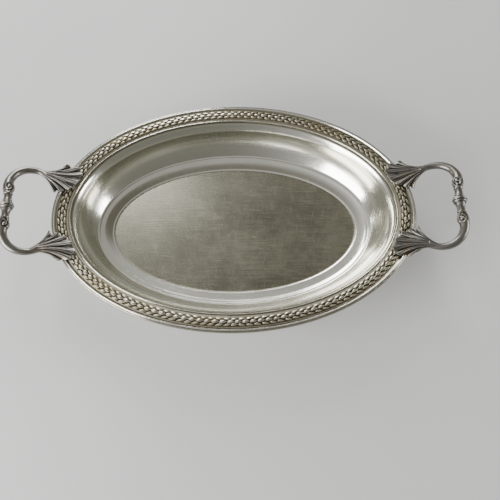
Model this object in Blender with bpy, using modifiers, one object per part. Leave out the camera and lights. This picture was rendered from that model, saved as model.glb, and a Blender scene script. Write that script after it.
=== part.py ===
"""Oval serving dish of silver-plated sheet, with a laurel border and two cast loop handles.

The dish stands flat on its floor.  X runs along its length, Y across it and Z up; the origin is
at the middle of its underside.  The sheet body carries a moulded wire round its rim, a laurel
border in four lengths, a fine bead at the mouth of the well, and four acanthus-leaf mounts.
Each mount is riveted through the rim and carries one arm of a handle, and a turned knop joins
the two arms at each end of the dish.
"""

import math

import bmesh
import bpy
from mathutils import Matrix, Vector
from mathutils.geometry import interpolate_bezier

MM = 0.001

# ---- driving dimensions, in millimetres -----------------------------------------------------

RIM_LENGTH = 310.0          # the oval rim, outside its edge wire
RIM_WIDTH = 216.8
RIM_HEIGHT = 33.6           # top face of the flat rim, above the table
SHEET = 1.2                 # thickness of the sheet
GAP = 0.3                   # between pieces that meet

FLANGE_EDGE_INSET = 2.4     # where the sheet ends, inside the edge wire
MOUTH_INSET = 16.6          # where the rim turns down into the well
SHOULDER_INSET = 22.2
SHOULDER_DROP = 6.0         # below the rim
RIDGE_INSET = 35.2          # the line where the wall ends and the foot of the well begins
RIDGE_HEIGHT = 3.6          # above the well's floor
STEP_INSET = 39.4
STEP_HEIGHT = 1.9
FLOOR_INSET = 47.8

OVAL_STEPS = 72             # sides of every oval loop

LAUREL_OUTER_INSET = 4.8
LAUREL_INNER_INSET = 12.8
LAUREL_RISE = 1.9           # crown of the laurel border above the rim

BOSS_X = 136.6              # the foot of each leaf mount, and its rivet
BOSS_Y = 35.0
BOSS_RADIUS = 4.0
BOSS_BEARING = math.radians(26)     # direction of the rim's normal there
RIVET_RADIUS = 1.5
RIVET_HEAD_RADIUS = 3.0
RIVET_HEAD_HEIGHT = 1.5
RIVET_DEPTH = 2.6           # how far the rivet goes into the mount, above the rim
LEAF_UNDERSIDE = 2.5        # above the rim, clear of the laurel border

HANDLE_RISE = 15.5          # the knop's axis above the rim
HANDLE_REACH = 188.2        # the knop's axis from the middle of the dish
KNOP_HALF_LENGTH = 4.6

# ---- sections -------------------------------------------------------------------------------

# The rim's edge wire hooks over the sheet's edge: (inset, height above the rim's face).
EDGE_WIRE_SECTION = [
    (2.1, -2.6), (0.5, -2.5), (0.0, -1.6), (0.5, -0.6), (0.9, 0.6),
    (1.8, 1.4), (2.9, 1.4), (3.7, 0.7), (3.7, 0.3), (2.1, 0.3),
]

# The turned knop, from one end to the other: (distance along its axis, radius).
KNOP_PROFILE = [
    (-KNOP_HALF_LENGTH, 0.0), (-KNOP_HALF_LENGTH, 3.7), (-3.4, 3.9), (-2.6, 4.9), (-1.5, 5.6),
    (-0.8, 6.2), (0.8, 6.2), (1.5, 5.6), (2.6, 4.9), (3.4, 3.9),
    (KNOP_HALF_LENGTH, 3.7), (KNOP_HALF_LENGTH, 0.0),
]

# A handle's arm: (x, y, height above the rim, radius), from its leaf mount to the knop.
ARM_ROUTE = [
    (161.0, 34.9, 5.0, 3.2),
    (166.0, 37.5, 6.0, 2.9),
    (172.5, 38.6, 7.4, 3.0),
    (179.5, 37.4, 9.4, 3.2),
    (185.6, 33.0, 11.4, 3.4),
    (189.2, 26.6, 13.2, 3.7),
    (190.0, 21.4, 14.4, 4.3),
    (189.3, 17.0, 15.0, 5.0),
    (188.6, 12.6, 15.3, 4.5),
    (188.2, 8.6, 15.5, 3.5),
    (188.2, KNOP_HALF_LENGTH + GAP, 15.5, 3.6),
]

# A leaf mount: (x, y, half width, height of its crown above the rim), from the neck inwards.
LEAF_SECTIONS = [
    (160.6, 34.7, 3.2, 8.2),
    (157.5, 33.2, 5.0, 8.3),
    (154.0, 32.0, 9.5, 7.6),
    (149.0, 32.0, 12.4, 6.6),
    (143.0, 32.6, 12.2, 5.7),
    (137.0, 34.0, 10.4, 5.2),
    (133.0, 36.0, 7.2, 4.6),
    (130.6, 37.6, 3.6, 3.9),
]
LEAF_SECTION_SIDES = 14

SIDES = {"right": 1, "left": -1}
ENDS = {"back": 1, "front": -1}


def clear_scene():
    for item in list(bpy.data.objects):
        bpy.data.objects.remove(item, do_unlink=True)


def new_collection(name):
    collection = bpy.data.collections.new(name)
    bpy.context.scene.collection.children.link(collection)
    return collection


def metal(name, colour, roughness):
    material = bpy.data.materials.new(name)
    material.use_nodes = True
    shader = material.node_tree.nodes["Principled BSDF"]
    shader.inputs["Base Color"].default_value = (*colour, 1.0)
    shader.inputs["Metallic"].default_value = 1.0
    shader.inputs["Roughness"].default_value = roughness
    return material


def finish_mesh(shape, name, collection, material, sharp_angle=40):
    """Turn a bmesh in millimetres into a named, smooth-shaded object in metres."""
    bmesh.ops.scale(shape, vec=(MM, MM, MM), verts=shape.verts)
    mesh = bpy.data.meshes.new(name)
    shape.to_mesh(mesh)
    shape.free()
    mesh.materials.append(material)
    mesh.shade_smooth()
    mesh.set_sharp_from_angle(angle=math.radians(sharp_angle))
    item = bpy.data.objects.new(name, mesh)
    collection.objects.link(item)
    return item


def face_outwards(shape):
    """Point every face of a closed shape outwards."""
    bmesh.ops.recalc_face_normals(shape, faces=shape.faces)
    if shape.calc_volume(signed=True) < 0:
        bmesh.ops.reverse_faces(shape, faces=shape.faces)


def oval_loop(shape, inset, height):
    """One oval loop of vertices, inset from the rim's outline, at a height above the table."""
    turns = [2 * math.pi * step / OVAL_STEPS for step in range(OVAL_STEPS)]
    return [shape.verts.new(((RIM_LENGTH / 2 - inset) * math.cos(turn),
                             (RIM_WIDTH / 2 - inset) * math.sin(turn), height))
            for turn in turns]


def loft(shape, loops):
    """Quads between each loop of vertices and the next; the loops all have as many vertices."""
    for first, second in zip(loops, loops[1:]):
        count = len(first)
        for here in range(count):
            following = (here + 1) % count
            shape.faces.new((first[here], first[following], second[following], second[here]))


def oval_moulding(section):
    """A closed ring of the given section, (inset, height above the rim), right round the oval."""
    shape = bmesh.new()
    loops = [oval_loop(shape, inset, RIM_HEIGHT + rise) for inset, rise in section]
    loft(shape, loops + loops[:1])
    face_outwards(shape)
    return shape


def curve_points(start, start_pull, end_pull, end, count):
    """Points of a cubic curve between two section points, both ends included."""
    ends = [Vector((*point, 0)) for point in (start, start_pull, end_pull, end)]
    return [(point.x, point.y) for point in interpolate_bezier(*ends, count)]


def well_section():
    """The dish's upper face from the rim's edge to the floor: (inset, height above table)."""
    floor = SHEET
    shoulder = (SHOULDER_INSET, RIM_HEIGHT - SHOULDER_DROP)
    ridge = (RIDGE_INSET, floor + RIDGE_HEIGHT)
    step = (STEP_INSET, floor + STEP_HEIGHT)
    lip = curve_points((MOUTH_INSET, RIM_HEIGHT), (MOUTH_INSET + 2.4, RIM_HEIGHT),
                       (shoulder[0] - 1.6, shoulder[1] + 2.2), shoulder, 4)
    wall = curve_points(shoulder, (shoulder[0] + 2.4, shoulder[1] - 9.5),
                        (ridge[0] - 5.4, ridge[1] + 5.6), ridge, 6)
    foot = curve_points(ridge, (ridge[0] + 1.6, ridge[1] - 0.4), (step[0] - 1.2, step[1] + 0.6),
                        step, 3)
    apron = curve_points(step, (step[0] + 2.0, step[1] - 1.0),
                         (FLOOR_INSET - 2.5, floor + 0.45), (FLOOR_INSET, floor + 0.4), 4)
    flange = [(FLANGE_EDGE_INSET, RIM_HEIGHT)]
    return flange + lip + wall[1:] + foot[1:] + apron[1:] + [(FLOOR_INSET + 0.5, floor)]


def cylinder(radius, bottom, top, x, y, sides=24):
    """An upright cylinder in a bmesh of its own; heights are above the rim's face."""
    shape = bmesh.new()
    place = Matrix.Translation((x, y, RIM_HEIGHT + (bottom + top) / 2))
    bmesh.ops.create_cone(shape, cap_ends=True, segments=sides, radius1=radius, radius2=radius,
                          depth=top - bottom, matrix=place)
    return shape


def cutter(shape, name, collection, material):
    item = finish_mesh(shape, name, collection, material)
    item.hide_render = True
    item.display_type = "WIRE"
    return item


def boolean(item, tool, operation):
    modifier = item.modifiers.new(operation.lower(), "BOOLEAN")
    modifier.operation = operation
    modifier.solver = "EXACT"
    modifier.object = tool


def make_body(collection, material):
    """The dish itself: an open surface spun through its section, given the sheet's thickness."""
    shape = bmesh.new()
    loops = [oval_loop(shape, inset, height) for inset, height in well_section()]
    loft(shape, loops)
    shape.faces.new(loops[-1])
    bmesh.ops.recalc_face_normals(shape, faces=shape.faces)
    if sum(face.normal.z * face.calc_area() for face in shape.faces) < 0:
        bmesh.ops.reverse_faces(shape, faces=shape.faces)
    body = finish_mesh(shape, "dish_body", collection, material)
    shell = body.modifiers.new("sheet thickness", "SOLIDIFY")
    shell.thickness = SHEET * MM
    shell.offset = -1.0
    shell.use_even_offset = True
    return body


def make_edge_wire(collection, material):
    return finish_mesh(oval_moulding(EDGE_WIRE_SECTION), "outer_edge_wire", collection, material)


def make_bead_wire(collection, material):
    """The fine bead: a half-round wire lying on the rim at the mouth of the well."""
    radius = 0.6
    middle = MOUTH_INSET - 0.9
    turns = [math.pi * step / 4 for step in range(5)]
    section = [(middle + radius * math.cos(a), GAP + radius * 1.6 * math.sin(a)) for a in turns]
    return finish_mesh(oval_moulding(section), "inner_bead_wire", collection, material)


def make_laurel_bands(collection, material):
    """The border in four lengths; each pair of lengths stops either side of a mount's foot."""
    width = LAUREL_INNER_INSET - LAUREL_OUTER_INSET
    arch = [math.pi * step / 6 for step in range(7)]
    crown = [(LAUREL_OUTER_INSET + width * (1 - math.cos(a)) / 2,
              0.7 + (LAUREL_RISE - 0.7) * math.sin(a)) for a in arch]
    section = [(LAUREL_OUTER_INSET, GAP), *crown, (LAUREL_INNER_INSET, GAP)]
    clearance = BOSS_RADIUS + 2 * GAP
    # Each length keeps what lies beyond two cuts, given by the quadrants that they stand in.
    lengths = {
        "laurel_band_right": (-1, [(1, 1), (1, -1)]),
        "laurel_band_back": (1, [(1, 1), (-1, 1)]),
        "laurel_band_left": (-1, [(-1, 1), (-1, -1)]),
        "laurel_band_front": (1, [(1, -1), (-1, -1)]),
    }
    for name, (beyond, quadrants) in lengths.items():
        shape = oval_moulding(section)
        for side, end in quadrants:
            along = Vector((-side * math.sin(BOSS_BEARING), end * math.cos(BOSS_BEARING), 0))
            keep = along * beyond
            point = Vector((side * BOSS_X, end * BOSS_Y, 0)) + keep * clearance
            cut = bmesh.ops.bisect_plane(
                shape, geom=[*shape.verts, *shape.edges, *shape.faces],
                plane_co=point, plane_no=keep, clear_inner=True)
            rim = [piece for piece in cut["geom_cut"] if isinstance(piece, bmesh.types.BMEdge)]
            bmesh.ops.holes_fill(shape, edges=rim)
        face_outwards(shape)
        finish_mesh(shape, name, collection, material)


def leaf_section(shape, x, y, half_width, crown, side, end):
    """A domed loop across a leaf mount, standing across X."""
    low = RIM_HEIGHT + LEAF_UNDERSIDE
    middle = low + (crown - LEAF_UNDERSIDE) * 0.35
    corners = []
    for step in range(LEAF_SECTION_SIDES):
        turn = 2 * math.pi * step / LEAF_SECTION_SIDES
        across = half_width * math.cos(turn)
        lift = math.sin(turn)
        reach = RIM_HEIGHT + crown - middle if lift > 0 else middle - low
        corners.append(shape.verts.new((side * x, end * (y + across), middle + reach * lift)))
    return corners


def make_leaf_mount(side_name, end_name, collection, cutters, material):
    """A fan-shaped mount: a loft from the arm's neck to the leaf's tips, on a round foot."""
    side = SIDES[side_name]
    end = ENDS[end_name]
    name = f"{side_name}_leaf_mount_{end_name}"
    shape = bmesh.new()
    loops = [leaf_section(shape, *section, side, end) for section in LEAF_SECTIONS]
    loft(shape, loops)
    shape.faces.new(loops[0])
    shape.faces.new(loops[-1])
    face_outwards(shape)
    leaf = finish_mesh(shape, name, collection, material)
    foot = cylinder(BOSS_RADIUS, GAP, LEAF_UNDERSIDE + 1.2, side * BOSS_X, end * BOSS_Y)
    boolean(leaf, cutter(foot, f"{name}_foot", cutters, material), "UNION")
    hole = cylinder(RIVET_RADIUS + GAP, -1.0, RIVET_DEPTH + GAP, side * BOSS_X, end * BOSS_Y)
    boolean(leaf, cutter(hole, f"{name}_hole", cutters, material), "DIFFERENCE")


def make_rivet(side_name, end_name, collection, material):
    """A turned rivet: its domed head bears under the rim and its shank enters the mount."""
    head_top = -SHEET - GAP
    head_bottom = head_top - RIVET_HEAD_HEIGHT
    dome = [(RIVET_HEAD_RADIUS * math.cos(a), head_top - RIVET_HEAD_HEIGHT * math.sin(a))
            for a in (math.pi / 2 * step / 4 for step in range(5))]
    profile = [(0, RIVET_DEPTH), (RIVET_RADIUS, RIVET_DEPTH), (RIVET_RADIUS, head_top), *dome]
    profile[-1] = (0, head_bottom)
    points = [Vector((radius, 0, height)) for radius, height in profile]
    rivet = turned(points, f"{side_name}_rivet_{end_name}", collection, material, 16)
    rivet.location = Vector((SIDES[side_name] * BOSS_X, ENDS[end_name] * BOSS_Y, RIM_HEIGHT)) * MM


def turned(points, name, collection, material, steps):
    """A profile turned about Z by a Screw modifier; it runs down its outer side at +X."""
    shape = bmesh.new()
    corners = [shape.verts.new(point) for point in points]
    for first, second in zip(corners, corners[1:]):
        shape.edges.new((first, second))
    item = finish_mesh(shape, name, collection, material)
    screw = item.modifiers.new("turn", "SCREW")
    screw.angle = 2 * math.pi
    screw.steps = steps
    screw.render_steps = steps
    screw.use_merge_vertices = True
    screw.merge_threshold = 0.00005
    return item


def make_knop(side_name, collection, material):
    points = [Vector((radius, 0, -along)) for along, radius in KNOP_PROFILE]
    knop = turned(points, f"{side_name}_handle_knop", collection, material, 24)
    knop.rotation_euler.x = math.pi / 2
    place = Vector((SIDES[side_name] * HANDLE_REACH, 0, RIM_HEIGHT + HANDLE_RISE))
    knop.location = place * MM


def make_arm(side_name, end_name, collection, material):
    """One arm of a handle: a round bar of changing thickness, on a smooth curve."""
    name = f"{side_name}_handle_arm_{end_name}"
    curve = bpy.data.curves.new(name, "CURVE")
    curve.dimensions = "3D"
    curve.bevel_depth = MM
    curve.bevel_resolution = 2
    curve.use_fill_caps = True
    curve.resolution_u = 3
    curve.materials.append(material)
    spline = curve.splines.new("BEZIER")
    spline.bezier_points.add(len(ARM_ROUTE) - 1)
    for point, (x, y, rise, radius) in zip(spline.bezier_points, ARM_ROUTE):
        place = (SIDES[side_name] * x, ENDS[end_name] * y, RIM_HEIGHT + rise)
        point.co = Vector(place) * MM
        point.radius = radius
        point.handle_left_type = "AUTO"
        point.handle_right_type = "AUTO"
    # The arm leaves its mount square to the neck's end face, so the faces stay a gap apart.
    neck = spline.bezier_points[0]
    neck.handle_right_type = "FREE"
    neck.handle_right = neck.co + Vector((SIDES[side_name] * 2.0, 0, 0)) * MM
    arm = bpy.data.objects.new(name, curve)
    collection.objects.link(arm)


def main():
    clear_scene()
    parts = new_collection("oval_serving_dish")
    cutters = new_collection("cutters")
    plate = metal("silver plate", (0.72, 0.70, 0.66), 0.22)
    border = metal("tarnished border", (0.42, 0.39, 0.31), 0.42)
    casting = metal("oxidised casting", (0.30, 0.29, 0.27), 0.36)

    body = make_body(parts, plate)
    make_edge_wire(parts, plate)
    make_bead_wire(parts, plate)
    make_laurel_bands(parts, border)
    for side_name, side in SIDES.items():
        make_knop(side_name, parts, casting)
        for end_name, end in ENDS.items():
            make_arm(side_name, end_name, parts, casting)
            make_leaf_mount(side_name, end_name, parts, cutters, casting)
            make_rivet(side_name, end_name, parts, plate)
            hole = cylinder(RIVET_RADIUS + GAP, -3.0, 1.0, side * BOSS_X, end * BOSS_Y)
            tool = cutter(hole, f"rim_hole_{side_name}_{end_name}", cutters, plate)
            boolean(body, tool, "DIFFERENCE")


main()
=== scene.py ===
# %% [markdown]
# # An oval serving dish in old silver plate
#
# This lesson dresses a serving dish whose size and structure are already settled in a CAD frame.
# The dish is one pressed sheet with a flat rim. A moulded wire stiffens the edge, a laurel border
# runs round the rim, and two cast loop handles stand on leaf mounts. The CAD model settles places
# and sizes, and this script gives the surface: fine relief, plate, tarnish and wear.

# %% Load the CAD frame
import math

import bmesh
import bpy
import numpy as np
from mathutils import Matrix, Vector
from mathutils.geometry import interpolate_bezier


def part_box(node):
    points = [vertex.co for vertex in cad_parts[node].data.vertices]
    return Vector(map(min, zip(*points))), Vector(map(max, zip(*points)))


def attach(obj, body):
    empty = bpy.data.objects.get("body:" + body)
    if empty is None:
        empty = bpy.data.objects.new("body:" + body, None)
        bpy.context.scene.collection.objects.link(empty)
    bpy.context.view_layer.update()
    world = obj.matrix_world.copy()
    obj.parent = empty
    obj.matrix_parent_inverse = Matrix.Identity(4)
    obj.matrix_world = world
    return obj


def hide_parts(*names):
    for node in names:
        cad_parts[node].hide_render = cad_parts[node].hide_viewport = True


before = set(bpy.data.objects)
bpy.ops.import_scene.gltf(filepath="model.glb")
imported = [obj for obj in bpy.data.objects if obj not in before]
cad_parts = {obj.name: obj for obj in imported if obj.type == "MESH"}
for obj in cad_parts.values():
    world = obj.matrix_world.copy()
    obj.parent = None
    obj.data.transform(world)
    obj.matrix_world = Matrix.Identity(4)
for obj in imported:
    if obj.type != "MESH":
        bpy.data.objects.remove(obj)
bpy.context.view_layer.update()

MM = 0.001
print("nodes in the frame:", len(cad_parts))

# %% [markdown]
# ## Sizes that come from the frame
#
# The rim's half length, half width and height are read from the CAD nodes, and so is the knop's
# axis. Every ring on the dish is then an oval that is inset from that outline. An inset oval has
# both half axes shortened by the same amount, so one number places a ring. What a node's box
# can't tell, such as the sheet's thickness, is stated again here.

# %% Read the driving sizes
HALF_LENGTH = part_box("outer_edge_wire")[1].x
HALF_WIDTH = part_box("outer_edge_wire")[1].y
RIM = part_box("dish_body")[1].z
SHEET = 1.2 * MM
FLOOR = SHEET
knop_low, knop_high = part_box("right_handle_knop")
KNOP_CENTRE = (knop_low + knop_high) / 2
print(f"rim {2 * HALF_LENGTH / MM:.1f} x {2 * HALF_WIDTH / MM:.1f} mm, {RIM / MM:.1f} mm high")
print(f"knop axis {KNOP_CENTRE.x / MM:.1f} mm out, {(KNOP_CENTRE.z - RIM) / MM:.1f} above the rim")

# %% [markdown]
# ## The camera
#
# The camera comes first, because it decides what has to be crisp. It stands in front of the dish
# and looks steeply down into the well, a little from the right. Its direction is given by three
# plain angles, and the matrix below turns them into the three axes that Blender wants.

# %% Set up the camera
CAMERA_PLACE = Vector((10.4, -296.6, 589.0)) * MM
LOOK_DOWN = math.radians(64.87)
BEARING = math.radians(0.61)
ROLL = math.radians(-0.15)
LENS = 53.28

view = Vector((math.sin(BEARING) * math.cos(LOOK_DOWN),
               math.cos(BEARING) * math.cos(LOOK_DOWN), -math.sin(LOOK_DOWN)))
level_right = view.cross(Vector((0, 0, 1))).normalized()
level_up = level_right.cross(view)
right = level_right * math.cos(ROLL) + level_up * math.sin(ROLL)
up = level_up * math.cos(ROLL) - level_right * math.sin(ROLL)

camera_data = bpy.data.cameras.new("camera")
camera_data.lens = LENS
camera = bpy.data.objects.new("camera", camera_data)
bpy.context.scene.collection.objects.link(camera)
turn = Matrix((right, up, -view)).transposed().to_4x4()
camera.matrix_world = Matrix.Translation(CAMERA_PLACE) @ turn
bpy.context.scene.camera = camera
print(f"camera {CAMERA_PLACE.length:.3f} m from the dish, looking {math.degrees(LOOK_DOWN):.1f} down")

# %% [markdown]
# ## Node trees written as Python
#
# Both shaders and geometry trees are graphs of nodes. Two small classes let the script write them
# as expressions. A Value wraps one output socket, so `a * 2 + b` adds Math nodes by itself, and
# the reflected forms let a plain number stand first, as in `1 - mask`. A Graph adds any other
# node: its settings are made first, because some of them change which sockets the node has.

# %% A value that Python arithmetic works on
class Value:
    """One output socket of a node tree."""

    def __init__(self, graph, socket):
        self.graph = graph
        self.socket = socket

    def out(self, key):
        """Another output of the same node."""
        return Value(self.graph, self.socket.node.outputs[key])

    def maths(self, operation, *others):
        return self.graph.maths(operation, self, *others)

    def __add__(self, other):
        return self.graph.maths("ADD", self, other)

    def __radd__(self, other):
        return self.graph.maths("ADD", other, self)

    def __sub__(self, other):
        return self.graph.maths("SUBTRACT", self, other)

    def __rsub__(self, other):
        return self.graph.maths("SUBTRACT", other, self)

    def __mul__(self, other):
        return self.graph.maths("MULTIPLY", self, other)

    def __rmul__(self, other):
        return self.graph.maths("MULTIPLY", other, self)

    def __truediv__(self, other):
        return self.graph.maths("DIVIDE", self, other)

    def __rtruediv__(self, other):
        return self.graph.maths("DIVIDE", other, self)


# %% A graph that adds nodes
class Graph:
    """A node tree, with one method for any node."""

    def __init__(self, tree):
        self.tree = tree

    def node(self, kind, settings=None, inputs=None, output=0):
        made = self.tree.nodes.new(kind)
        for name, value in (settings or {}).items():
            if name == "stops":
                self.set_stops(made.color_ramp, value)
            else:
                setattr(made, name, value)
        for key, value in (inputs or {}).items():
            for one in value if isinstance(value, list) else [value]:
                if isinstance(one, Value):
                    self.tree.links.new(one.socket, made.inputs[key])
                else:
                    made.inputs[key].default_value = one
        return Value(self, made.outputs[output]) if len(made.outputs) else made

    def set_stops(self, ramp, stops):
        """Stops are (position, shade) pairs; a shade is a number or a colour."""
        while len(ramp.elements) < len(stops):
            ramp.elements.new(0.5)
        for element, (position, shade) in zip(ramp.elements, stops):
            colour = (shade, shade, shade) if isinstance(shade, (int, float)) else shade
            element.position = position
            element.color = (*colour, 1.0)

    def maths(self, operation, *values):
        return self.node("ShaderNodeMath", {"operation": operation}, dict(enumerate(values)))

    def vector(self, operation, *values, output=0):
        settings = {"operation": operation}
        return self.node("ShaderNodeVectorMath", settings, dict(enumerate(values)), output)

    def ramp(self, value, *stops):
        return self.node("ShaderNodeValToRGB", {"stops": stops}, {"Fac": value})

    def mix(self, factor, first, second):
        """A mix of two colours."""
        inputs = {0: factor, 6: first, 7: second}
        return self.node("ShaderNodeMix", {"data_type": "RGBA"}, inputs, output=2)

    def between(self, value, low, high):
        """0 below low, 1 above high, and a smooth rise between them."""
        settings = {"interpolation_type": "SMOOTHSTEP"}
        inputs = {"Value": value, "From Min": low, "From Max": high}
        return self.node("ShaderNodeMapRange", settings, inputs)


print("node helpers ready")

# %% [markdown]
# ## Geometry trees with named inputs
#
# A geometry tree gets its sizes through named inputs. Blender stores a modifier's inputs under
# identifiers, so a helper looks each name up. Once the modifier has been evaluated, its result is
# copied to a plain mesh and the modifier's object is removed: what is left has no live parts.

# %% Make a tree, run it and keep its mesh
def new_tree(name, sockets):
    """A geometry tree; sockets maps each input's name to its kind."""
    tree = bpy.data.node_groups.new(name, "GeometryNodeTree")
    for label, kind in {"Geometry": "Geometry", **sockets}.items():
        tree.interface.new_socket(label, in_out="INPUT", socket_type=f"NodeSocket{kind}")
    tree.interface.new_socket("Geometry", in_out="OUTPUT", socket_type="NodeSocketGeometry")
    graph = Graph(tree)
    return graph, graph.node("NodeGroupInput")


def run_tree(item, tree, values, name):
    """The tree's result on an object."""
    modifier = item.modifiers.new(tree.name, "NODES")
    modifier.node_group = tree
    for socket in tree.interface.items_tree:
        if socket.in_out == "INPUT" and socket.name in values:
            modifier[socket.identifier] = values[socket.name]
    return keep_result(item, name)


def new_object(name, data):
    item = bpy.data.objects.new(name, data)
    bpy.context.scene.collection.objects.link(item)
    return item


def keep_result(item, name):
    """The object with its modifiers applied, as a plain mesh; the first object is removed."""
    bpy.context.view_layer.update()
    evaluated = item.evaluated_get(bpy.context.evaluated_depsgraph_get())
    mesh = bpy.data.meshes.new_from_object(evaluated)
    mesh.name = name
    bpy.data.objects.remove(item, do_unlink=True)
    print(f"{name}: {len(mesh.polygons)} faces")
    return new_object(name, mesh)


def polyline(points, name="section"):
    """An open line of edges through the points."""
    mesh = bpy.data.meshes.new(name)
    pairs = [(i, i + 1) for i in range(len(points) - 1)]
    mesh.from_pydata(points, pairs, [])
    return new_object(name, mesh)


# %% [markdown]
# ## Old silver plate
#
# The sheet, the wires and the rivets are silver plate that has been polished for decades. Three
# things make it read as old metal and not as chrome: fine scratches that run every way, a warm
# haze of tarnish that is never even, and a floor that spoons have rubbed to a satin. The colour
# stays close to neutral and most of the work is done by roughness.

# %% Shared metal patterns
def metal_material(name):
    """A metallic Principled material; returns it, its graph and its shader node."""
    material = bpy.data.materials.new(name)
    material.use_nodes = True
    graph = Graph(material.node_tree)
    shader = material.node_tree.nodes["Principled BSDF"]
    shader.inputs["Metallic"].default_value = 1.0
    return material, graph, shader


def object_place(graph):
    """Object coordinates, in metres."""
    return graph.node("ShaderNodeTexCoord", output="Object")


def noise(graph, place, scale, detail=3.0, roughness=0.55):
    inputs = {"Vector": place, "Scale": scale, "Detail": detail, "Roughness": roughness}
    return graph.node("ShaderNodeTexNoise", None, inputs)


def scratches(graph, place, bearing, spacing, length, amount):
    """Hairlines along one bearing: noise that is stretched far along the line."""
    settings = {"rotation_type": "Z_AXIS"}
    turned = graph.node("ShaderNodeVectorRotate", settings,
                        {"Vector": place, "Angle": math.radians(bearing)})
    stretched = graph.vector("MULTIPLY", turned, (1 / length, 1 / spacing, 1 / spacing))
    lines = noise(graph, stretched, 1.0, detail=2.0)
    return graph.between(lines, 0.66 - amount, 0.74)


def connect(graph, shader, **links):
    """Joins values to the shader's inputs; an underscore stands for a space."""
    for name, value in links.items():
        graph.tree.links.new(value.socket, shader.inputs[name.replace("_", " ")])


# %% The plate
SILVER = (0.85, 0.845, 0.785, 1)
WARM_TARNISH = (0.58, 0.56, 0.45, 1)
SATIN_FLOOR = (0.41, 0.405, 0.325, 1)
GROOVE_TARNISH = (0.24, 0.22, 0.14, 1)
POLISH = 0.10
SATIN = 0.06


def make_plate():
    material, graph, shader = metal_material("silver plate")
    place = object_place(graph)
    height = graph.node("ShaderNodeSeparateXYZ", None, {"Vector": place}, output=2)
    on_floor = 1 - graph.between(height, FLOOR + 0.04 * MM, FLOOR + 0.25 * MM)
    above_groove = graph.between(height, RIM + 0.25 * MM, RIM + 0.8 * MM)
    in_groove = graph.between(height, RIM - 1.0 * MM, RIM - 0.2 * MM) * (1 - above_groove)
    cloud = noise(graph, place, 16.0, detail=2.0)
    fine_cloud = noise(graph, place, 140.0, detail=4.0)
    hairlines = scratches(graph, place, 12, 0.35 * MM, 30 * MM, 0.03)
    for bearing, spacing, length in ((-38, 0.30, 22), (67, 0.42, 26), (101, 0.28, 18)):
        more = scratches(graph, place, bearing, spacing * MM, length * MM, 0.02)
        hairlines = hairlines.maths("MAXIMUM", more)
    rubbed = scratches(graph, place, 0, 0.6 * MM, 45 * MM, 0.44) * on_floor
    haze = graph.between(cloud * 0.8 + fine_cloud * 0.2, 0.28, 0.74)
    colour = graph.mix(on_floor, SILVER, SATIN_FLOOR)
    colour = graph.mix(haze * 0.35 + rubbed * 0.12, colour, WARM_TARNISH)
    colour = graph.mix(in_groove * 0.85, colour, GROOVE_TARNISH)
    rough = POLISH + on_floor * SATIN + haze * 0.06 + fine_cloud * 0.04 + hairlines * 0.10
    rough = rough + rubbed * 0.07
    ripple = noise(graph, place, 28.0, detail=1.0)
    relief = ripple * 0.22 - hairlines * 0.012
    bump = graph.node("ShaderNodeBump", None,
                      {"Strength": 0.5, "Distance": 0.6 * MM, "Height": relief})
    connect(graph, shader, Base_Color=colour, Roughness=rough, Normal=bump)
    return material


plate = make_plate()
print("material:", plate.name)

# %% [markdown]
# ## Tarnished border and oxidised castings
#
# Relief is what tarnish clings to. The hollows of the border keep an olive brown and its crowns
# are rubbed to silver, and the handles are darker still. Both materials read one attribute,
# relief, which each mesh carries: 0 in a hollow and 1 on a crown. It belongs to the mesh, so it
# holds from every side and survives export, which a shading trick would not.

# %% Materials that follow the relief
def relief_value(graph):
    return graph.node("ShaderNodeAttribute", {"attribute_name": "relief"}, output="Fac")


def make_relief_metal(name, hollow, middle, crown, rough_hollow, rough_crown, patches):
    """Metal whose colour and polish follow the relief, with cloudy patches of tarnish."""
    material, graph, shader = metal_material(name)
    place = object_place(graph)
    cloud = noise(graph, place, 90.0, detail=4.0)
    grain = noise(graph, place, 900.0, detail=3.0)
    worn = relief_value(graph) + (cloud - 0.5) * 0.35 + (grain - 0.5) * 0.15
    colour = graph.ramp(worn, (0.18, hollow), (0.5, middle), (0.85, crown))
    patch = graph.between(noise(graph, place, 45.0, detail=3.0), 0.5, 0.68)
    colour = graph.mix(patch * 0.45, colour, (*patches, 1))
    rough = graph.node("ShaderNodeMapRange", None, {
        "Value": worn, "From Min": 0.2, "From Max": 0.85,
        "To Min": rough_hollow, "To Max": rough_crown})
    rough = rough + (grain - 0.5) * 0.12
    bump = graph.node("ShaderNodeBump", None,
                      {"Strength": 0.35, "Distance": 0.15 * MM, "Height": grain})
    connect(graph, shader, Base_Color=colour, Roughness=rough, Normal=bump)
    return material


border_metal = make_relief_metal(
    "tarnished border", (0.060, 0.050, 0.025), (0.22, 0.195, 0.13), (0.62, 0.59, 0.49),
    0.55, 0.22, (0.24, 0.19, 0.10))
casting_metal = make_relief_metal(
    "oxidised casting", (0.030, 0.028, 0.026), (0.13, 0.123, 0.112), (0.24, 0.232, 0.21),
    0.50, 0.31, (0.15, 0.12, 0.085))
print("materials:", border_metal.name, "and", casting_metal.name)

# %% [markdown]
# ## One loft for every ring
#
# The body, the wires and the border are all the same idea: a section carried round an oval. A
# sweep along a curve would keep the section square to the rim and give the floor pointed ends.
# Here each point of the section keeps its own oval, as spun and pressed dishes do. The tree
# takes a line of points (inset, share, height), makes a grid, and bends it round. The share
# shrinks an oval towards the centre, which is how the floor closes to a point.

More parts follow.
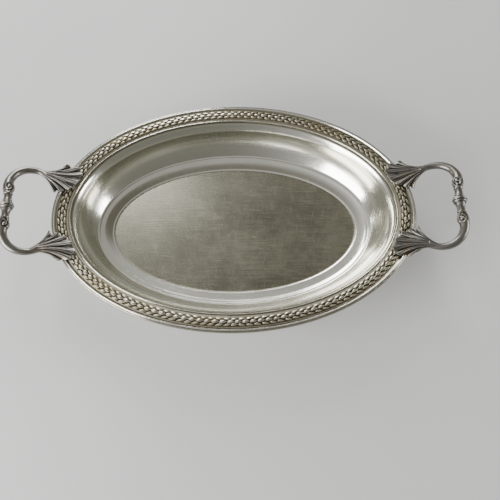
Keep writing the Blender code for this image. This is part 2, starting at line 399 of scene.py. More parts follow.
# %% The loft tree
def make_loft_tree():
    sockets = {"Half Length": "Float", "Half Width": "Float", "Steps": "Int",
               "Start": "Float", "Sweep": "Float", "Material": "Material"}
    graph, given = new_tree("oval loft", sockets)
    section = given.out("Geometry")
    rows = graph.node("GeometryNodeAttributeDomainSize", {"component": "MESH"},
                      {"Geometry": section})
    columns = given.out("Steps") + 1
    grid = graph.node("GeometryNodeMeshGrid", None,
                      {"Size X": 1.0, "Size Y": 1.0, "Vertices X": columns, "Vertices Y": rows})
    index = graph.node("GeometryNodeInputIndex")
    column = ((index + 0.5) / rows).maths("FLOOR")
    row = index - column * rows
    settings = {"data_type": "FLOAT_VECTOR", "domain": "POINT"}
    point = graph.node("GeometryNodeSampleIndex", settings, {
        "Geometry": section, "Value": graph.node("GeometryNodeInputPosition"), "Index": row})
    inset = graph.node("ShaderNodeSeparateXYZ", None, {"Vector": point})
    share = inset.out("Y")
    angle = given.out("Start") + given.out("Sweep") * column / given.out("Steps")
    x = (given.out("Half Length") - inset) * angle.maths("COSINE") * share
    y = (given.out("Half Width") - inset) * angle.maths("SINE") * share
    place = graph.node("ShaderNodeCombineXYZ", None, {"X": x, "Y": y, "Z": inset.out("Z")})
    bent = graph.node("GeometryNodeSetPosition", None, {"Geometry": grid, "Position": place})
    closed = graph.node("GeometryNodeMergeByDistance", None,
                        {"Geometry": bent, "Distance": 0.01 * MM})
    smooth = graph.node("GeometryNodeSetShadeSmooth", None, {"Geometry": closed})
    painted = graph.node("GeometryNodeSetMaterial", None,
                         {"Geometry": smooth, "Material": given.out("Material")})
    graph.node("NodeGroupOutput", None, {"Geometry": painted})
    return graph.tree


loft_tree = make_loft_tree()


def loft(points, name, material, steps=360, start=0.0, sweep=2 * math.pi):
    """A section of (inset, share, height) points, in metres, carried round the oval."""
    values = {"Half Length": HALF_LENGTH, "Half Width": HALF_WIDTH, "Steps": steps,
              "Start": start, "Sweep": sweep, "Material": material}
    return run_tree(polyline(points), loft_tree, values, name)


print("loft tree has", len(loft_tree.nodes), "nodes")

# %% [markdown]
# ## The dish body
#
# The body is drawn as one section, from the rim down into the well. The mouth rolls over to a
# shoulder, a steep hollow wall drops to a ridge, a small step follows, and a shallow apron ends at
# the crisp corner of the floor. Each stretch is a cubic curve between two named points, and the
# underside is the same line moved by the sheet's thickness, as a pressed sheet really is.

# %% Draw the section of the well
MOUTH = (16.7 * MM, RIM)
SHOULDER = (22.2 * MM, RIM - 6.0 * MM)
RIDGE = (35.2 * MM, FLOOR + 3.6 * MM)
STEP = (39.0 * MM, FLOOR + 2.25 * MM)
FLOOR_CORNER = (47.8 * MM, FLOOR + 0.35 * MM)


def stretch(start, start_pull, end_pull, end, count):
    """A cubic curve; each pull is how far its handle stands from its end, in mm."""
    handles = [start, (start[0] + start_pull[0] * MM, start[1] + start_pull[1] * MM),
               (end[0] + end_pull[0] * MM, end[1] + end_pull[1] * MM), end]
    points = interpolate_bezier(*[Vector((*handle, 0)) for handle in handles], count)
    return [(point.x, point.y) for point in points]


def well_line():
    line = [(2.4 * MM, RIM - 0.15 * MM), (2.6 * MM, RIM), (15.0 * MM, RIM)]
    line += stretch(MOUTH, (2.3, 0.1), (-1.7, 2.6), SHOULDER, 10)
    line += stretch(SHOULDER, (2.0, -9.0), (-5.6, 6.4), RIDGE, 18)[1:]
    line += stretch(RIDGE, (1.5, -0.1), (-1.3, 0.75), STEP, 7)[1:]
    line += stretch(STEP, (2.2, -0.75), (-3.0, 0.60), FLOOR_CORNER, 9)[1:]
    return line + [(48.0 * MM, FLOOR + 0.12 * MM), (48.25 * MM, FLOOR)]


def underside(line, thickness):
    """The line moved to its lower side by the thickness."""
    points = np.array(line)
    along = np.gradient(points, axis=0)
    along /= np.linalg.norm(along, axis=1)[:, None]
    upward = np.stack([-along[:, 1], along[:, 0]], axis=1)
    return [tuple(point) for point in points - upward * thickness]


upper = well_line()
lower = underside(upper, SHEET)
lower[-1] = (lower[-1][0], 0.0)
lower[-2] = (lower[-2][0], 0.0)
floor_shares = [0.985, 0.93, 0.8, 0.6, 0.4, 0.2, 0.0]
body_section = [(inset, 1.0, height) for inset, height in upper]
body_section += [(upper[-1][0], share, FLOOR) for share in floor_shares]
body_section += [(lower[-1][0], share, 0.0) for share in reversed(floor_shares)]
body_section += [(inset, 1.0, height) for inset, height in reversed(lower)]
body_section.append(body_section[0])
print(f"the body's section has {len(body_section)} points")

# %% Spin it round
body = loft(body_section, "body", plate)
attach(body, "root")
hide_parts("dish_body")

# %% [markdown]
# ## The edge wire and the bead
#
# The rim's edge is a moulded wire with two fine reeds, the outer one a little lower, and it hooks
# over the sheet. The mouth of the well has a single fine bead with a groove on either side. Both
# are rings on the same loft. Reeds are drawn as arcs, so their highlights stay thin and even.

# %% Draw the two mouldings
def arc(centre, radius, start, end, count):
    """Points on an arc in the section plane, angles in degrees, sizes in mm."""
    angles = np.radians(np.linspace(start, end, count))
    return [(centre[0] - radius * math.cos(a), centre[1] + radius * math.sin(a)) for a in angles]


def ring_section(points):
    """Closes a list of (inset, rise above the rim) in mm into a loft section."""
    section = [(inset * MM, 1.0, RIM + rise * MM) for inset, rise in points]
    return section + section[:1]


edge_points = [(2.1, -2.5), (0.75, -2.45), (0.3, -2.1), (0.05, -1.5), (0.15, -0.9)]
edge_points += arc((0.92, -0.15), 0.70, -20, 150, 10)
edge_points += arc((2.48, 0.40), 0.82, -22, 150, 11)
edge_points += [(3.45, 0.42), (3.9, 0.12), (4.3, 0.02), (4.3, -0.2), (2.1, -0.2)]
edge_wire = loft(ring_section(edge_points), "edge_wire", plate)
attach(edge_wire, "root")
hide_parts("outer_edge_wire")

bead_points = [(14.9, -0.2), (14.95, 0.1), (15.15, 0.16)]
bead_points += arc((15.85, 0.22), 0.62, 10, 170, 9)
bead_points += [(16.55, 0.1), (16.8, -0.1), (16.7, -0.3)]
bead_wire = loft(ring_section(bead_points), "mouth_bead", plate)
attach(bead_wire, "root")
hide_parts("inner_bead_wire")

# %% [markdown]
# ## One sprig of laurel
#
# The border repeats one sprig about a hundred and thirty times. A sprig is one broad leaf on the
# crown of the border and two slim ones beside it, set half a step on. The leaves pack like
# bricks, so the dark ground shows only as crossing lines and small pits. A leaf is a small grid:
# it is domed with steep sides, it has a crease down its midrib, and its rim dips into the
# border so that no gap shows. It has only about two dozen faces because it is repeated so often.
# A second small group, the meeting, fills the side rows where two sprigs stand root to root.

# %% Model the sprig
PITCH = 6.0 * MM
BORDER_MIDDLE = 9.2
CROWN_HALF_WIDTH = 3.8


def border_rise(across):
    """Height of the border's own surface above the rim, in mm, at a distance from its middle."""
    return 0.35 + 0.60 * (1 - min(abs(across) / CROWN_HALF_WIDTH, 1.0) ** 2)


def add_leaf(shape, layer, root, tip, half_width, dome):
    """A pointed leaf from root to tip, both (along, across) in mm, lying on the border."""
    rows = 7
    columns = 5
    start = Vector(root)
    axis = Vector(tip) - start
    side = Vector((-axis.y, axis.x)).normalized()
    grid = []
    for row in range(rows):
        along = row / (rows - 1)
        swell = math.sin(math.pi * (0.08 + 0.88 * along ** 0.9)) ** 0.85
        line = []
        for column in range(columns):
            across = 2 * column / (columns - 1) - 1
            flat = start + axis * along + side * across * half_width * swell
            lift = dome * (1 - across ** 2) ** 0.6 * (0.45 + 0.55 * swell)
            crease = 0.2 * (1 - min(abs(across) * 2, 1)) * swell
            vertex = shape.verts.new((flat.x * MM, flat.y * MM, 0))
            vertex.co.z = (border_rise(flat.y) + lift - crease - 0.1) * MM
            vertex[layer] = (1 - abs(across) ** 2.2) * (0.35 + 0.65 * swell)
            line.append(vertex)
        grid.append(line)
    for above, below in zip(grid, grid[1:]):
        for column in range(columns - 1):
            shape.faces.new((above[column + 1], above[column], below[column], below[column + 1]))
    edge = grid[0][::-1] + [line[0] for line in grid[1:]] + grid[-1][1:]
    edge += [line[-1] for line in grid[-2:0:-1]]
    shape.faces.new(edge[::-1])


def leaf_group(name, leaves):
    """One object for several leaves, each given as root, tip, half width and dome in mm."""
    shape = bmesh.new()
    layer = shape.verts.layers.float.new("relief")
    for leaf in leaves:
        add_leaf(shape, layer, *leaf)
    bmesh.ops.recalc_face_normals(shape, faces=shape.faces)
    mesh = bpy.data.meshes.new(name)
    shape.to_mesh(mesh)
    shape.free()
    mesh.shade_smooth()
    return new_object(name, mesh)


crown_leaf = ((-3.05, 0), (3.05, 0), 1.9, 0.95)
side_leaves = [((0.0, 2.15 * side), (6.0, 3.1 * side), 1.3, 0.75) for side in (1, -1)]
filling_leaves = [((-2.95, 2.35 * side), (2.95, 2.35 * side), 1.35, 0.75) for side in (1, -1)]
sprig = leaf_group("sprig", [crown_leaf, *side_leaves])
meeting = leaf_group("meeting", filling_leaves)
print("one sprig has", len(sprig.data.polygons), "faces")

# %% [markdown]
# ## The laurel border
#
# The sprigs are set along an oval arc by a geometry tree. The arc is scaled to the border's own
# oval, then divided evenly along its length. Each sprig turns to the arc's tangent, and the sign
# of tangent times position makes the leaves run from the middle of the long sides towards the
# handles. Two more leaves fill the middle of a long side. The tree joins them all to a plain
# moulding underneath and ends in one real mesh.

# %% The border tree
def make_border_tree():
    sockets = {"Half Length": "Float", "Half Width": "Float", "Steps": "Int",
               "Start": "Float", "Sweep": "Float", "Material": "Material",
               "Inset": "Float", "Height": "Float", "Count": "Int", "Sprig": "Object",
               "Meetings": "Int", "Meeting": "Object"}
    graph, given = new_tree("laurel border", sockets)
    shared = ["Geometry", "Half Length", "Half Width", "Steps", "Start", "Sweep", "Material"]
    moulding = graph.node("GeometryNodeGroup", {"node_tree": loft_tree},
                          {name: given.out(name) for name in shared})
    place = graph.node("GeometryNodeInputPosition")
    above_rim = graph.node("ShaderNodeSeparateXYZ", None, {"Vector": place}, output=2)
    plain = 1 - graph.between(above_rim - given.out("Height"), 0.25 * MM, 0.45 * MM)
    moulding = graph.node("GeometryNodeStoreNamedAttribute",
                          {"data_type": "FLOAT", "domain": "POINT"},
                          {"Geometry": moulding, "Name": "relief", "Value": plain * 0.62})
    arc_line = graph.node("GeometryNodeCurveArc", {"mode": "RADIUS"}, {
        "Resolution": 400, "Radius": 1.0, "Start Angle": given.out("Start"),
        "Sweep Angle": given.out("Sweep")})
    size = graph.node("ShaderNodeCombineXYZ", None, {
        "X": given.out("Half Length") - given.out("Inset"),
        "Y": given.out("Half Width") - given.out("Inset")})
    lift = graph.node("ShaderNodeCombineXYZ", None, {"Z": given.out("Height")})
    oval = graph.vector("ADD", graph.vector("MULTIPLY", place, size), lift)
    line = graph.node("GeometryNodeSetPosition", None, {"Geometry": arc_line, "Position": oval})
    even = graph.node("GeometryNodeResampleCurve", {"mode": "COUNT"},
                      {"Curve": line, "Count": given.out("Count")})
    tangent = graph.node("GeometryNodeInputTangent")
    along = graph.node("ShaderNodeSeparateXYZ", None, {"Vector": tangent})
    out = graph.node("ShaderNodeSeparateXYZ", None, {"Vector": place})
    heading = graph.vector("MULTIPLY", tangent, (along * out).maths("SIGN"))
    turned = graph.node("FunctionNodeAlignRotationToVector", {"axis": "X", "pivot_axis": "Z"},
                        {"Vector": heading})
    leaf = graph.node("GeometryNodeObjectInfo", None, {"Object": given.out("Sprig")},
                      output="Geometry")
    scale = graph.node("FunctionNodeRandomValue", {"data_type": "FLOAT"},
                       {"Min": 0.95, "Max": 1.05, "Seed": 7}, output=1)
    sprigs = graph.node("GeometryNodeInstanceOnPoints", None, {
        "Points": even, "Instance": leaf, "Rotation": turned, "Scale": scale})
    middle = graph.node("GeometryNodeSampleCurve", {"mode": "FACTOR"},
                        {"Curves": line, "Factor": 0.5}, output="Position")
    middle_point = graph.node("GeometryNodePoints", None,
                              {"Count": given.out("Meetings"), "Position": middle})
    filler = graph.node("GeometryNodeObjectInfo", None, {"Object": given.out("Meeting")},
                        output="Geometry")
    filled = graph.node("GeometryNodeInstanceOnPoints", None,
                        {"Points": middle_point, "Instance": filler})
    joined = graph.node("GeometryNodeJoinGeometry", None, {"Geometry": [moulding, sprigs, filled]})
    real = graph.node("GeometryNodeRealizeInstances", None, {"Geometry": joined})
    painted = graph.node("GeometryNodeSetMaterial", None,
                         {"Geometry": real, "Material": given.out("Material")})
    graph.node("NodeGroupOutput", None, {"Geometry": painted})
    return graph.tree


border_tree = make_border_tree()
print("border tree has", len(border_tree.nodes), "nodes")

# %% [markdown]
# ## Four lengths of border
#
# The border comes in four lengths that end under the leaf mounts, as the CAD nodes do. The
# number of sprigs in a length is worked out from its arc, and is always even, so that no sprig
# falls exactly in the middle, where the two directions meet.

# %% Place the lengths
rivet_low, rivet_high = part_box("right_rivet_back")
rivet_y = (rivet_low.y + rivet_high.y) / 2
MOUNT_ANGLE = math.asin(rivet_y / (HALF_WIDTH - BORDER_MIDDLE * MM))

border_points = [(4.2, -0.1), (4.5, 0.04), (4.9, 0.10), (5.2, 0.22), (5.4, 0.42)]
border_points += [(BORDER_MIDDLE + offset, border_rise(offset))
                  for offset in np.linspace(-3.6, 3.6, 11)]
border_points += [(12.95, 0.40), (13.1, 0.2), (13.6, 0.14), (14.9, 0.1), (15.05, -0.05),
                  (15.05, -0.3), (4.2, -0.3)]


def arc_length(start, sweep):
    angles = np.linspace(start, start + sweep, 400)
    x = (HALF_LENGTH - BORDER_MIDDLE * MM) * np.cos(angles)
    y = (HALF_WIDTH - BORDER_MIDDLE * MM) * np.sin(angles)
    return float(np.hypot(np.diff(x), np.diff(y)).sum())


long_sweep = math.pi - 2 * MOUNT_ANGLE
lengths = {"right": (-MOUNT_ANGLE, 2 * MOUNT_ANGLE), "back": (MOUNT_ANGLE, long_sweep),
           "left": (math.pi - MOUNT_ANGLE, 2 * MOUNT_ANGLE),
           "front": (math.pi + MOUNT_ANGLE, long_sweep)}
for side_name, (start, sweep) in lengths.items():
    count = 2 * round(arc_length(start, sweep) / PITCH / 2)
    values = {"Half Length": HALF_LENGTH, "Half Width": HALF_WIDTH,
              "Steps": 40 if sweep < 1 else 140, "Start": start, "Sweep": sweep,
              "Material": border_metal, "Inset": BORDER_MIDDLE * MM, "Height": RIM,
              "Count": count, "Sprig": sprig, "Meeting": meeting,
              "Meetings": 1 if side_name in ("back", "front") else 0}
    section = polyline(ring_section(border_points))
    border = run_tree(section, border_tree, values, f"laurel_{side_name}")
    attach(border, "root")
    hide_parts(f"laurel_band_{side_name}")
    print(f"{side_name}: {count} sprigs")
bpy.data.objects.remove(sprig, do_unlink=True)
bpy.data.objects.remove(meeting, do_unlink=True)

# %% [markdown]
# ## Castings: build rough, then fuse
#
# Handles and leaf mounts are castings, so nothing on them has a clean joint: every part melts
# into the next with a small fillet. The way to get that is to pile up simple closed shapes, such
# as bars, spirals and leaf blades, and let a voxel remesh fuse them into one skin. A short
# smoothing then rounds the steps. It costs faces, but a casting is small.

# %% Closed shapes to pile up
def close_loft(shape, loops, ladder=False):
    """Quads between loops of equally many vertices, with both ends closed.

    A ladder closes a long flat end with quads from its upper to its lower edge."""
    for first, second in zip(loops, loops[1:]):
        for here in range(len(first)):
            following = (here + 1) % len(first)
            shape.faces.new((first[here], first[following], second[following], second[here]))
    for end in (loops[0][::-1], loops[-1]):
        if not ladder:
            shape.faces.new(end)
            continue
        for here in range(len(end) // 2 - 1):
            shape.faces.new((end[here], end[here + 1], end[-2 - here], end[-1 - here]))


def path_point(points, span, t):
    """The place at share t of a span of the smooth curve through the points."""
    knots = np.array(points, float)
    padded = np.vstack([2 * knots[0] - knots[1], knots, 2 * knots[-1] - knots[-2]])
    a, b, c, d = padded[span:span + 4]
    return 0.5 * (2 * b + (c - a) * t + (2 * a - 5 * b + 4 * c - d) * t ** 2
                  + (3 * b - a - 3 * c + d) * t ** 3)


def smooth_path(points, per_span=6):
    """A smooth curve through the points; extra numbers on a point are carried along."""
    shares = np.arange(per_span) / per_span
    made = [path_point(points, span, t) for span in range(len(points) - 1) for t in shares]
    return np.array([*made, points[-1]], float)


def add_bar(shape, points, upright=(0, 0, 1), sides=16):
    """A round bar through (x, y, z, radius) points."""
    rows = np.array(points, float)
    places = rows[:, :3]
    tangents = np.gradient(places, axis=0)
    loops = []
    for place, tangent, radius in zip(places, tangents, rows[:, 3]):
        forward = Vector(tangent).normalized()
        side = forward.cross(Vector(upright)).normalized()
        above = side.cross(forward)
        loop = []
        for step in range(sides):
            angle = 2 * math.pi * step / sides
            offset = side * math.cos(angle) + above * math.sin(angle)
            loop.append(shape.verts.new(Vector(place) + offset * radius))
        loops.append(loop)
    close_loft(shape, loops)


def add_ball(shape, centre, radii, turn=Matrix()):
    place = Matrix.Translation(centre) @ turn.to_4x4() @ Matrix.Diagonal((*radii, 1))
    bmesh.ops.create_uvsphere(shape, u_segments=24, v_segments=14, radius=1, matrix=place)


# %% Fuse the pile and mark its relief
def fuse(shape, name, voxel, smoothing, material):
    """One skin over a pile in mm, made in metres, with its relief stored on the mesh."""
    bmesh.ops.recalc_face_normals(shape, faces=shape.faces)
    mesh = bpy.data.meshes.new(name)
    bmesh.ops.scale(shape, vec=(MM, MM, MM), verts=shape.verts)
    shape.to_mesh(mesh)
    shape.free()
    rough = new_object(name + "_pile", mesh)
    remesh = rough.modifiers.new("fuse", "REMESH")
    remesh.mode = "VOXEL"
    remesh.voxel_size = voxel * MM
    soften = rough.modifiers.new("soften", "SMOOTH")
    soften.factor = 0.5
    soften.iterations = smoothing
    item = keep_result(rough, name)
    item.data.materials.clear()
    item.data.materials.append(material)
    item.data.shade_smooth()
    mark_relief(item.data)
    return item


def spread(values, edges, counts):
    """Each vertex's mean over its neighbours."""
    total = np.zeros_like(values)
    np.add.at(total, edges[:, 0], values[edges[:, 1]])
    np.add.at(total, edges[:, 1], values[edges[:, 0]])
    return total / counts


def places_and_normals(mesh):
    """Both as arrays, one row a vertex."""
    arrays = []
    for name in ("co", "normal"):
        numbers = np.zeros(len(mesh.vertices) * 3)
        mesh.vertices.foreach_get(name, numbers)
        arrays.append(numbers.reshape(-1, 3))
    return arrays


def mark_relief(mesh, passes=20, depth=0.16 * MM):
    """Stores how far each vertex stands proud of a smoothed copy of its own surface."""
    places, normals = places_and_normals(mesh)
    edges = np.zeros(len(mesh.edges) * 2, int)
    mesh.edges.foreach_get("vertices", edges)
    edges = edges.reshape(-1, 2)
    counts = np.maximum(np.bincount(edges.ravel(), minlength=len(places)), 1)[:, None]
    blurred = places.copy()
    for _ in range(passes):
        blurred = spread(blurred, edges, counts)
    proud = ((places - blurred) * normals).sum(axis=1)
    relief = np.clip(0.5 + 0.5 * proud / depth, 0, 1)
    attribute = mesh.attributes.get("relief") or mesh.attributes.new("relief", "FLOAT", "POINT")
    attribute.data.foreach_set("value", relief.astype(np.float32))
    print(f"  relief of {mesh.name}: {relief.min():.2f} to {relief.max():.2f}")


def mirrored(item, name, side, end):
    """A copy for another corner of the dish; one flip turns a shape inside out."""
    mesh = item.data.copy()
    mesh.transform(Matrix.Diagonal((side, end, 1, 1)))
    if side * end < 0:
        mesh.flip_normals()
    return new_object(name, mesh)


CORNERS = {("right", "back"): (1, 1), ("right", "front"): (1, -1),
           ("left", "back"): (-1, 1), ("left", "front"): (-1, -1)}

# %% [markdown]
# ## The leaf mounts
#
# Each mount is an acanthus leaf that covers the whole width of the rim. Its veins start on the
# arm, pass the neck together and fan out, and its edge is cut into seven lobes whose tips curl
# up. One formula draws all of it: a sheet whose columns run from the arm to the outline. A
# cosine of the column gives the lobes and their notches, and a cosine three times as quick
# gives three flutes to each lobe. A slow wave bends the flutes on their way out, as a carver
# would. Cushions and a root are fused on below.

# %% Model one mount
LOBE_TIPS = [
    (154.3, 18.2, 3.4), (147.3, 20.0, 2.9), (140.0, 22.8, 2.6), (134.2, 28.8, 2.4),
    (130.9, 36.6, 2.4), (134.2, 43.6, 2.6), (144.7, 45.8, 3.4),
]
NECK = Vector((157.6, 33.3))
ARM_START = Vector((167.2, 37.9))
ARM_HEADING = Vector((-0.894, -0.447))
rim_mm = RIM / MM


def raised(points):
    """Heights above the rim made heights above the table."""
    return [(x, y, z + rim_mm, r) for x, y, z, r in points]


def outline(u):
    """The leaf's edge (x, y, rise) at column u; whole numbers are the lobes' tips."""
    span = min(int(u), len(LOBE_TIPS) - 2)
    return Vector(path_point(LOBE_TIPS, span, u - span))


def leaf_point(u, t):
    """A point of the leaf's upper side: u runs across the lobes, t from the arm to the edge."""
    across = (3 - u) / 3
    edge = outline(u)
    lobe = abs(math.cos(math.pi * u))
    sway = 0.16 * math.sin(4.6 * t + 1.3 * u) * t
    flute = abs(math.cos(3 * math.pi * (u + sway))) ** 0.9
    heading = Vector((edge.x, edge.y)) - NECK
    notch = 3.4 * (1 - lobe) ** 1.5 / heading.length
    tip = Vector((edge.x, edge.y)) - heading * notch
    beside = Vector((-ARM_HEADING.y, ARM_HEADING.x))
    first = ARM_START + beside * 2.2 * across
    second = first + ARM_HEADING * 8.5 + beside * 0.8 * across
    third = tip - heading * 0.45
    curl = (1.0 + 1.2 * across ** 6) * max(0.0, (t - 0.72) / 0.28) ** 2 * lobe
    places = [Vector((*first, 8.95 - 1.1 * across ** 2)), Vector((*second, 9.0 - 2.2 * across ** 2)),
              Vector((*third, edge.z + 2.6)), Vector((*tip, edge.z))]
    s = 1 - t
    place = (places[0] * s ** 3 + 3 * places[1] * s ** 2 * t + 3 * places[2] * s * t ** 2
             + places[3] * t ** 3)
    swell = min(1.0, 0.35 + 1.6 * t) * min(1.0, (1 - t) * 3 + 0.45)
    place.z += curl + swell * (0.85 * flute * (1.1 - 0.5 * t) + 1.15 * lobe * t - 0.9)
    return place


def add_leaf_sheet(shape, rows=26, columns=127, thickness=1.5):
    """The fluted sheet, closed with an underside."""
    loops = []
    for row in range(rows):
        t = (row / (rows - 1)) ** 0.9
        top = []
        for column in range(columns):
            place = leaf_point(6 * column / (columns - 1), t)
            top.append(Vector((place.x, place.y, place.z + rim_mm)))
        bottom = [place - Vector((0, 0, thickness)) for place in top[::-1]]
        loops.append([shape.verts.new(place) for place in top + bottom])
    close_loft(shape, loops, ladder=True)


def make_mount():
    shape = bmesh.new()
    add_leaf_sheet(shape)
    add_ball(shape, (145.5, 32.4, rim_mm + 1.7), (12.6, 9.4, 2.4))
    add_ball(shape, (151.5, 27.8, rim_mm + 2.4), (5.6, 6.4, 2.0))
    add_ball(shape, (146.5, 37.6, rim_mm + 2.6), (5.0, 4.0, 2.0))
    add_bar(shape, raised([(165.5, 37.2, 5.7, 2.5), (160.2, 34.6, 5.2, 2.8),
                           (156.5, 33.2, 4.4, 2.9), (151.0, 32.8, 2.8, 2.6)]))
    return fuse(shape, "mount_master", voxel=0.22, smoothing=3, material=casting_metal)


mount_master = make_mount()
for (side_name, end_name), (side, end) in CORNERS.items():
    leaf = mirrored(mount_master, f"{side_name}_acanthus_{end_name}", side, end)
    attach(leaf, "root")
    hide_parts(f"{side_name}_leaf_mount_{end_name}")
bpy.data.objects.remove(mount_master, do_unlink=True)

# %% [markdown]
# ## The handle arms
#
# An arm leaves its leaf as a slim bar with veins running on into it, swings round the finger gap
# while it thickens, and ends in a scroll whose eye faces up and down. Past the scroll it necks
# in behind a small collar and swells towards the knop. The route follows the CAD arm's closely
# and runs on a little into the leaf and the knop, so the handle keeps its place. The spiral is a
# formula.

# %% Model one arm
ARM = [
    (160.2, 34.6, 5.0, 3.2), (166.0, 37.5, 6.0, 2.75), (172.5, 38.6, 7.4, 2.95),
    (179.5, 37.4, 9.4, 3.2), (185.6, 33.0, 11.4, 3.5), (189.0, 26.6, 13.2, 3.8),
    (189.6, 21.4, 14.4, 4.2), (189.2, 17.0, 15.0, 4.5), (188.6, 13.2, 15.3, 4.0),
    (188.3, 9.6, 15.5, 3.3), (188.2, 7.0, 15.5, 3.35), (188.2, 4.2, 15.5, 4.0),
]
SCROLL = Vector((188.7, 17.2, 15.0))
HANDLE_TILT = math.radians(20)
TILT = Matrix.Rotation(-HANDLE_TILT, 3, "Y")


def scroll_line(turns=1.3, reach=4.2):
    """The spiral on the scroll's face, as (outward, away) offsets in mm from its eye."""
    t = np.linspace(0, 1, 60)[:, None]
    angle = math.radians(20) - 2 * math.pi * turns * t
    radius = 1.3 + (reach - 1.3) * (1 - t) ** 0.9
    return np.hstack([radius * np.cos(angle), radius * np.sin(angle) * 1.15])


def carve_scroll(mesh, width=0.75, depth=0.8):
    """Sinks a spiral groove into the faces of the scroll that look up and down."""
    places, normals = places_and_normals(mesh)
    turn = np.array(TILT.inverted())
    centre = np.array(SCROLL + Vector((0, 0, rim_mm))) * MM
    local = (places - centre) @ turn.T / MM
    facing = (normals @ turn.T)[:, 2]
    near = np.abs(local[:, :2]).max(axis=1) < 6.5
    gaps = np.linalg.norm(local[near][:, None, :2] - scroll_line()[None], axis=2).min(axis=1)
    cut = depth * np.exp(-(gaps / width) ** 2) * np.clip(np.abs(facing[near]) * 2.2 - 0.7, 0, 1)
    places[near] -= normals[near] * cut[:, None] * MM
    mesh.vertices.foreach_set("co", places.ravel())
    print(f"  scroll carved on {int(near.sum())} vertices")


def make_arm():
    shape = bmesh.new()
    add_bar(shape, smooth_path(raised(ARM)), sides=24)
    centre = SCROLL + Vector((0, 0, rim_mm))
    add_ball(shape, centre, (5.0, 5.5, 4.3), TILT)
    add_ball(shape, centre, (1.5, 1.6, 5.1), TILT)
    collar = [(188.4 + 3.35 * math.sin(a), 11.2, 15.4 + 3.35 * math.cos(a), 0.6)
              for a in np.linspace(0, 2 * math.pi * 0.999, 25)]
    add_bar(shape, raised(collar), upright=(0, 1, 0), sides=8)
    for offset, lift in ((-2.1, 1.7), (0.0, 2.75), (2.1, 1.7)):
        vein = [(160.4, 34.7 + offset, 5.2 + lift, 0.9),
                (166.0, 37.5 + offset * 0.75, 5.9 + lift * 0.9, 0.75),
                (171.5, 38.5 + offset * 0.5, 7.1 + lift * 0.85, 0.55),
                (177.0, 38.0 + offset * 0.2, 8.6 + lift * 0.75, 0.4)]
        add_bar(shape, smooth_path(raised(vein)), sides=8)
    item = fuse(shape, "arm_master", voxel=0.25, smoothing=2, material=casting_metal)
    carve_scroll(item.data)
    mark_relief(item.data)
    return item


arm_master = make_arm()
for (side_name, end_name), (side, end) in CORNERS.items():
    arm = mirrored(arm_master, f"{side_name}_scroll_arm_{end_name}", side, end)
    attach(arm, "root")
    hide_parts(f"{side_name}_handle_arm_{end_name}")
bpy.data.objects.remove(arm_master, do_unlink=True)

# %% [markdown]
# ## The knops
#
# The knop is turned: a short baluster with two proud rings and a waist between them. A Screw
# modifier spins its profile. The profile is dense at the rings so that their edges catch light,
# and it is given its relief in the same way as the castings.

# %% Model the knops
KNOP_PROFILE = [    # (along, radius) in mm
    (-4.9, 0.0), (-4.9, 3.7), (-4.2, 3.8), (-3.4, 4.0), (-2.9, 4.3), (-2.7, 4.9), (-2.3, 5.4),
    (-1.8, 5.6), (-1.3, 5.4), (-1.05, 4.95), (-0.8, 5.5), (-0.3, 6.1), (0.2, 6.15), (0.7, 5.9),
    (1.0, 5.3), (1.25, 4.9), (1.5, 5.15), (2.0, 5.35), (2.5, 5.0), (2.8, 4.4), (3.4, 4.0),
    (4.2, 3.8), (4.9, 3.7), (4.9, 0.0),
]

KNOP_SIDES = 64


def make_knop(name, side):
    profile = smooth_path(KNOP_PROFILE, 3)
    profile[:, 1] = np.clip(profile[:, 1], 0.0, None)
    points = [(radius * MM, 0, -along * MM) for along, radius in profile]
    item = polyline(points, name + "_profile")
    screw = item.modifiers.new("turn", "SCREW")
    screw.steps = KNOP_SIDES
    screw.render_steps = KNOP_SIDES
    screw.use_merge_vertices = True
    screw.merge_threshold = 0.02 * MM
    knop = keep_result(item, name)
    centre = Vector((side * KNOP_CENTRE.x, 0, KNOP_CENTRE.z))
    knop.data.transform(Matrix.Translation(centre) @ Matrix.Rotation(math.pi / 2, 4, "X"))
    knop.data.materials.append(casting_metal)
    knop.data.shade_smooth()
    mark_relief(knop.data, passes=12)
    return knop


for side_name, side in (("right", 1), ("left", -1)):
    knop = make_knop(f"{side_name}_knop", side)
    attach(knop, "root")
    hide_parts(f"{side_name}_handle_knop")

# %% [markdown]
# ## The rivets
#
# The rivets under the rim are already the right shape in the frame. They only need the plate's
# finish, which goes into their material slots.

# %% Finish the rivets
for side_name, end_name in CORNERS:
    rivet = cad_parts[f"{side_name}_rivet_{end_name}"]
    rivet.data.materials.clear()
    rivet.data.materials.append(plate)
print("rivets finished")

# %% [markdown]
# ## The table and the light
#
# Silver shows whatever stands round it, so the light is designed by what the dish should reflect.
# A broad window at the left front gives the bright sweep on the right wall, one at the back gives
# the band along its lower right, one to the right gives the patch on the left wall, and a small
# skylight brightens the left of the floor. The room is grey and paler to the left and overhead.
# One dark patch of its ceiling, where the flat floor looks, keeps the floor deeper than the walls.

# %% Make the table
TABLE_HALF = 6.0


def make_table():
    mesh = bpy.data.meshes.new("table")
    corners = [(x * TABLE_HALF, y * TABLE_HALF, 0) for x, y in ((-1, -1), (1, -1), (1, 1), (-1, 1))]
    mesh.from_pydata(corners, [], [(0, 1, 2, 3)])
    material = bpy.data.materials.new("pale table")
    material.use_nodes = True
    graph = Graph(material.node_tree)
    shader = material.node_tree.nodes["Principled BSDF"]
    shader.inputs["Roughness"].default_value = 0.75
    cloud = noise(graph, object_place(graph), 6.0, detail=4.0)
    colour = graph.mix(cloud, (0.60, 0.60, 0.60, 1), (0.66, 0.66, 0.655, 1))
    connect(graph, shader, Base_Color=colour)
    mesh.materials.append(material)
    table = new_object("table", mesh)
    table.location.z = -0.1 * MM


make_table()


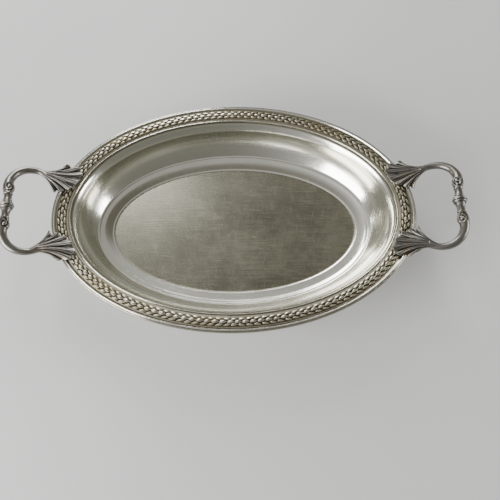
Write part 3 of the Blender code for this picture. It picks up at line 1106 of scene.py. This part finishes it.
# %% Set the lights
def add_window(name, place, target, size, power):
    """A rectangular light that faces the target; sizes in metres, power in watts."""
    light = bpy.data.lights.new(name, "AREA")
    light.shape = "RECTANGLE"
    light.size, light.size_y = size
    light.energy = power
    item = new_object(name, light)
    item.location = place
    aim = Vector(target) - Vector(place)
    item.rotation_euler = aim.to_track_quat("-Z", "Y").to_euler()


add_window("left_window", (-0.80, -0.50, 0.32), (0, 0, 0.02), (0.74, 0.50), 19)
add_window("back_window", (-0.24, 0.84, 0.40), (0, 0, 0.0), (0.34, 0.46), 6.5)
add_window("skylight", (-0.27, 0.62, 0.76), (0, 0, 0.0), (0.20, 0.20), 0.8)
add_window("right_window", (1.0, -0.06, 0.26), (0, 0, 0.02), (0.38, 0.30), 6)


FRONT_WALL = (0.20, 0.20, 0.175, 1)
BACK_WALL = (0.40, 0.40, 0.365, 1)
LEFT_WALL = (0.45, 0.45, 0.455, 1)
CEILING = (0.42, 0.41, 0.39, 1)
LEFT_CEILING = (0.95, 0.94, 0.93, 1)
DARK_PATCH = (0.13, 0.12, 0.095, 1)
TOWARDS_PATCH = (0.09, 0.33, 0.94)


def light_room():
    world = bpy.data.worlds.new("room")
    bpy.context.scene.world = world
    world.use_nodes = True
    graph = Graph(world.node_tree)
    direction = graph.node("ShaderNodeTexCoord", output="Generated")
    parts = graph.node("ShaderNodeSeparateXYZ", None, {"Vector": direction})
    to_left = graph.between(parts.out("X"), 0.10, -0.70)
    to_back = graph.between(parts.out("Y"), -0.15, 0.75)
    high = graph.between(parts.out("Z"), 0.60, 0.85)
    beam = graph.vector("DOT_PRODUCT", direction, TOWARDS_PATCH, output="Value")
    dark = graph.between(beam, 0.950, 0.990)
    walls = graph.mix(to_left, graph.mix(to_back, FRONT_WALL, BACK_WALL), LEFT_WALL)
    ceiling = graph.mix(to_left, CEILING, LEFT_CEILING)
    colour = graph.mix(dark, graph.mix(high, walls, ceiling), DARK_PATCH)
    background = world.node_tree.nodes["Background"]
    world.node_tree.links.new(colour.socket, background.inputs["Color"])
    background.inputs["Strength"].default_value = 1.0


light_room()
print("lights:", [light.name for light in bpy.data.lights])
